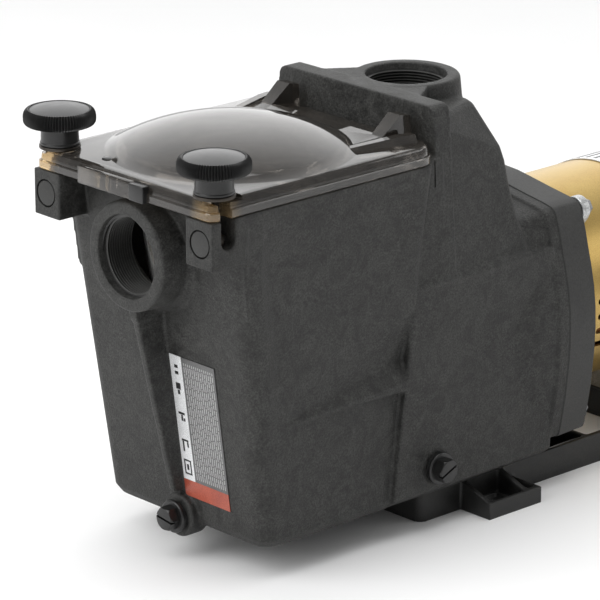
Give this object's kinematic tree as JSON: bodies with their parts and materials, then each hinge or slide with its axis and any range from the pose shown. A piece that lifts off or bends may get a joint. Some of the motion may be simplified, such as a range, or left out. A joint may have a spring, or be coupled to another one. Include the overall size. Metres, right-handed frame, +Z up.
{
  "type": "pool pump",
  "caption": "Self-priming pool pump: strainer pot with clear clamped lid, threaded suction and discharge ports, volute, round motor and tray base.",
  "frame": {"origin": "centre of the bounding box at floor level, under the base", "axes": "+X along the shaft from the suction port to the motor, +Y to the left seen from the suction port, +Z up"},
  "size_m": [0.6348, 0.2184, 0.33],
  "materials": {
    "housing_plastic": "moulded, faint flow marks",
    "base_plastic": "moulded satin",
    "lid_clear": "clear smoke-tinted polycarbonate",
    "seal_rubber": "matt",
    "basket_white": "moulded",
    "knob_black": "satin black",
    "steel": "stainless",
    "brass": "turned",
    "motor_gold": "satin metallic gold paint",
    "cast_aluminium": "die cast",
    "copper_winding": "varnished copper",
    "core_iron": "laminated",
    "wet_end_plastic": "moulded",
    "seal_ceramic": "lapped",
    "seal_carbon": "carbon and rubber",
    "label_grey": "printed film",
    "nameplate_silver": "printed plate"
  },
  "bodies": {
    "pump_body": {"base_screw_left": "steel", "base_screw_right": "steel", "bearing_front": "steel", "bearing_rear": "steel", "bolt_pin_left": "housing_plastic", "bolt_pin_right": "housing_plastic", "canopy_screw_left": "steel", "canopy_screw_right": "steel", "conduit_entry": "cast_aluminium", "corner_bolt_high_left": "steel", "corner_bolt_high_right": "steel", "corner_bolt_low_left": "steel", "corner_bolt_low_right": "steel", "diffuser": "wet_end_plastic", "diffuser_oring": "seal_rubber", "discharge_tower": "housing_plastic", "front_end_bell": "cast_aluminium", "housing_gasket": "seal_rubber", "lid": "lid_clear", "lid_gasket": "seal_rubber", "motor_adapter": "housing_plastic", "motor_cradle": "seal_rubber", "motor_shell": "motor_gold", "mounting_base": "base_plastic", "nameplate": "nameplate_silver", "pot_front": "housing_plastic", "pot_rim": "housing_plastic", "rating_label": "label_grey", "rear_canopy": "motor_gold", "rear_end_bell": "cast_aluminium", "run_capacitor": "wet_end_plastic", "seal_plate": "wet_end_plastic", "seal_seat": "seal_ceramic", "stator_core": "core_iron", "strainer_basket": "basket_white", "strainer_pot": "housing_plastic", "volute_housing": "housing_plastic", "wear_ring": "steel", "winding_front": "copper_winding", "winding_rear": "copper_winding"},
    "rotor": {"motor_shaft": "steel", "rotor_core": "core_iron", "impeller": "wet_end_plastic", "impeller_screw": "steel", "rotary_seal": "seal_carbon", "slinger": "seal_rubber", "fan": "wet_end_plastic", "switch_rotor": "wet_end_plastic"},
    "swing_bolt_right": {"swing_bolt_right": "steel"},
    "knob_washer_right": {"knob_washer_right": "steel"},
    "knob_right": {"knob_right": "knob_black", "knob_insert_right": "brass"},
    "swing_bolt_left": {"swing_bolt_left": "steel"},
    "knob_washer_left": {"knob_washer_left": "steel"},
    "knob_left": {"knob_left": "knob_black", "knob_insert_left": "brass"},
    "plug_seal_front": {"drain_plug_front_oring": "seal_rubber"},
    "drain_plug_front": {"drain_plug_front": "knob_black"},
    "plug_seal_side": {"drain_plug_side_oring": "seal_rubber"},
    "drain_plug_side": {"drain_plug_side": "knob_black"}
  },
  "joints": [
    {"name": "rotor_spin", "type": "hinge", "parent": "pump_body", "child": "rotor", "pos_m": [0.17235, 0, 0.13], "axis": [1, 0, 0], "continuous": true},
    {"name": "swing_right", "type": "hinge", "parent": "pump_body", "child": "swing_bolt_right", "pos_m": [-0.29115, -0.083, 0.2677], "axis": [1, 0, 0], "range_deg": [0, 100]},
    {"name": "knob_lift_right", "type": "slide", "parent": "swing_bolt_right", "child": "knob_washer_right", "axis": [0, 0, 1], "range_m": [0, 0.012]},
    {"name": "knob_turn_right", "type": "hinge", "parent": "knob_washer_right", "child": "knob_right", "pos_m": [-0.29115, -0.083, 0.31], "axis": [0, 0, 1], "range_deg": [0, 3070]},
    {"name": "swing_left", "type": "hinge", "parent": "pump_body", "child": "swing_bolt_left", "pos_m": [-0.29115, 0.083, 0.2677], "axis": [-1, 0, 0], "range_deg": [0, 100]},
    {"name": "knob_lift_left", "type": "slide", "parent": "swing_bolt_left", "child": "knob_washer_left", "axis": [0, 0, 1], "range_m": [0, 0.012]},
    {"name": "knob_turn_left", "type": "hinge", "parent": "knob_washer_left", "child": "knob_left", "pos_m": [-0.29115, 0.083, 0.31], "axis": [0, 0, 1], "range_deg": [0, 3070]},
    {"name": "plug_travel_front", "type": "slide", "parent": "pump_body", "child": "plug_seal_front", "axis": [-1, 0, 0], "range_m": [0, 0.02]},
    {"name": "plug_turn_front", "type": "hinge", "parent": "plug_seal_front", "child": "drain_plug_front", "pos_m": [-0.25565, 0, 0.032], "axis": [-1, 0, 0], "range_deg": [0, 5110]},
    {"name": "plug_travel_side", "type": "slide", "parent": "pump_body", "child": "plug_seal_side", "axis": [0, -1, 0], "range_m": [0, 0.02]},
    {"name": "plug_turn_side", "type": "hinge", "parent": "plug_seal_side", "child": "drain_plug_side", "pos_m": [-0.08165, -0.0916, 0.05], "axis": [0, -1, 0], "range_deg": [0, 5110]}
  ],
  "couplings": [
    {"joint": "knob_turn_right", "follows": "knob_lift_right", "rad_per_m": 4452.6},
    {"joint": "knob_turn_left", "follows": "knob_lift_left", "rad_per_m": 4452.6},
    {"joint": "plug_turn_front", "follows": "plug_travel_front", "rad_per_m": 4452.6},
    {"joint": "plug_turn_side", "follows": "plug_travel_side", "rad_per_m": 4452.6}
  ]
}
